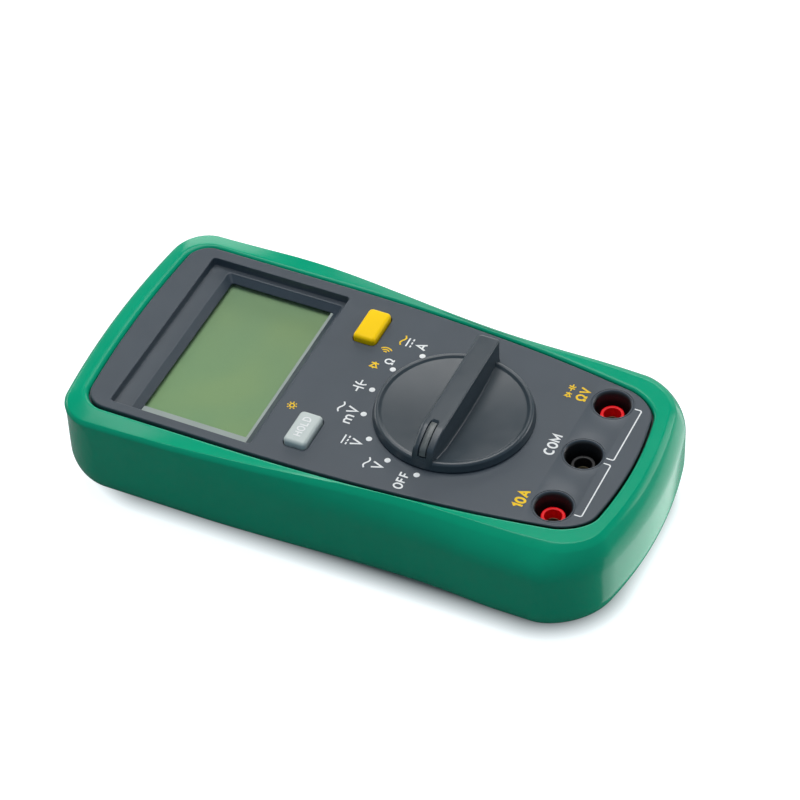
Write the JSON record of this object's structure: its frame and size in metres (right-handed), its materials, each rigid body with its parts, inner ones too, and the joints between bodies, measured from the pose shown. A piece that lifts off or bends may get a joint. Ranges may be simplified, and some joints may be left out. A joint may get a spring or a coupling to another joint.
{
  "type": "handheld multimeter",
  "caption": "Compact handheld multimeter in a waisted protective boot, with a display, two keys, a rotary selector, recessed input jacks and a fold-out stand.",
  "frame": {"origin": "on the surface that the meter lies on, under the middle of the boot", "axes": "+Y towards the display end, +X to the reader's right, +Z out of the face"},
  "size_m": [0.0768, 0.1522, 0.0372],
  "materials": {
    "boot_green": "glossy moulded",
    "case_grey": "fine satin texture",
    "knob_grey": "satin",
    "pointer_pale": "matt inlay",
    "key_pale": "satin",
    "key_yellow": "satin",
    "window_clear": "clear moulded window",
    "display_green": "unlit reflective display",
    "holder_white": "plain moulded",
    "dome_rubber": "soft",
    "strip_rubber": "soft",
    "board_green": "solder mask",
    "track_gold": "plated",
    "sleeve_red": "glossy moulded",
    "sleeve_black": "glossy moulded",
    "barrel_brass": "machined",
    "steel": "bright",
    "wire_shunt": "drawn wire",
    "fuse_body": "ceramic",
    "component_black": "moulded",
    "component_brown": "dipped",
    "cell_blue": "sleeved"
  },
  "bodies": {
    "meter": {"protective_boot": "boot_green", "front_case": "case_grey", "rear_case": "case_grey", "battery_door": "case_grey", "battery_door_screw": "steel", "case_screws": "steel", "display_window": "window_clear", "display_glass": "display_green", "display_holder": "holder_white", "backlight_panel": "holder_white", "connector_strip": "strip_rubber", "main_board": "board_green", "switch_tracks": "track_gold", "hold_dome": "dome_rubber", "select_dome": "dome_rubber", "jack_sleeve_amps": "sleeve_red", "jack_sleeve_common": "sleeve_black", "jack_sleeve_volts": "sleeve_red", "jack_barrel_amps": "barrel_brass", "jack_barrel_common": "barrel_brass", "jack_barrel_volts": "barrel_brass", "current_shunt": "wire_shunt", "input_fuse": "fuse_body", "fuse_clips": "steel", "thermistor": "component_brown", "measuring_chip": "component_black", "crystal": "steel", "buzzer": "component_black", "film_capacitors": "component_brown", "battery_left": "cell_blue", "battery_right": "cell_blue", "battery_springs": "steel", "battery_plates": "steel"},
    "selector": {"selector_knob": "knob_grey", "pointer_inlay": "pointer_pale", "contact_rotor": "holder_white", "rotor_screw": "steel", "wiper_contacts": "track_gold", "detent_balls": "steel", "detent_springs": "steel"},
    "hold_button": {"hold_key": "key_pale"},
    "select_button": {"select_key": "key_yellow"},
    "stand": {"tilt_stand": "case_grey"}
  },
  "joints": [
    {"name": "selector_turn", "type": "hinge", "parent": "meter", "child": "selector", "pos_m": [0, -0.0208, 0.0292], "axis": [0, 0, -1], "range_deg": [0, 135]},
    {"name": "hold_press", "type": "slide", "parent": "meter", "child": "hold_button", "axis": [0, 0, -1], "range_m": [0, 0.0012], "stiffness_N_per_m": 700, "springref_m": -0.0006, "deforming": ["hold_dome"]},
    {"name": "select_press", "type": "slide", "parent": "meter", "child": "select_button", "axis": [0, 0, -1], "range_m": [0, 0.0012], "stiffness_N_per_m": 700, "springref_m": -0.0006, "deforming": ["select_dome"]},
    {"name": "stand_fold", "type": "hinge", "parent": "meter", "child": "stand", "pos_m": [0, 0.0013, 0.0026], "axis": [1, 0, 0], "range_deg": [0, 60]}
  ]
}
